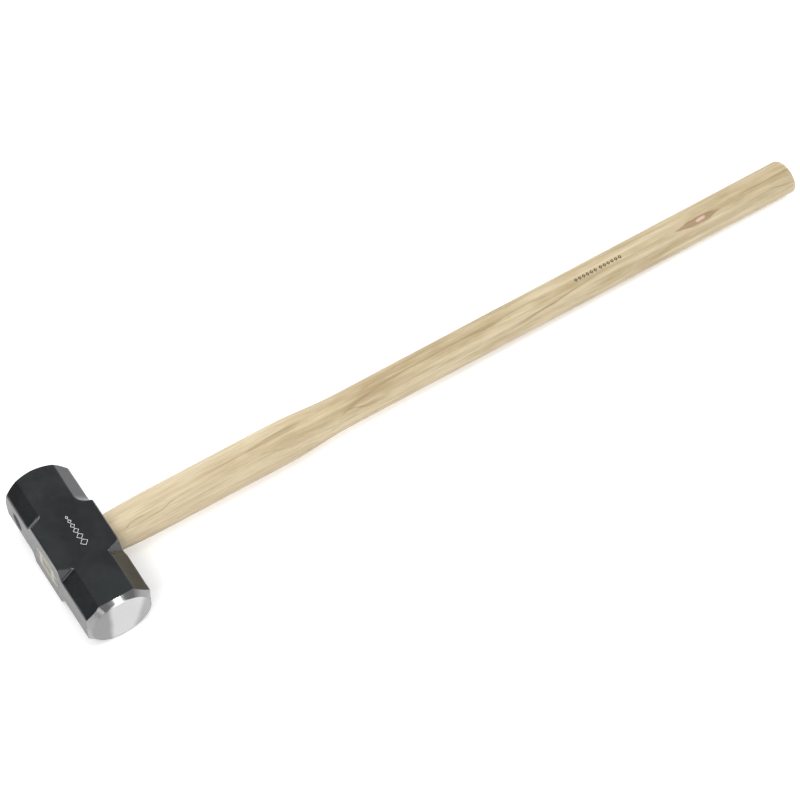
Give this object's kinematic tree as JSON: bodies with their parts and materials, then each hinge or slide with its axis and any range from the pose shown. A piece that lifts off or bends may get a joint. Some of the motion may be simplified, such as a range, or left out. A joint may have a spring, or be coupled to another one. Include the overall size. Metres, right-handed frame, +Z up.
{
  "type": "sledgehammer",
  "caption": "Double-faced sledgehammer: square forged steel head with octagonal bevelled ends, a wedged oval eye and a long straight wooden handle, lying on its cheek.",
  "frame": {"origin": "on the resting cheek of the head, straight below the middle of the eye", "axes": "+X along the handle from head to butt, Y along the head between its striking faces, +Z up out of the upper cheek"},
  "size_m": [0.911, 0.178, 0.069],
  "materials": {
    "painted_head": "satin black enamel over forged steel; striking faces, bevels and top side ground bare",
    "hickory": "sanded and clear lacquered, satin",
    "wedge_wood": "ground end grain",
    "wedge_steel": "ground flush with the head"
  },
  "bodies": {
    "root": {"head": "painted_head", "handle": "hickory", "wooden_wedge": "wedge_wood", "steel_wedge_upper": "wedge_steel", "steel_wedge_lower": "wedge_steel"}
  },
  "joints": []
}
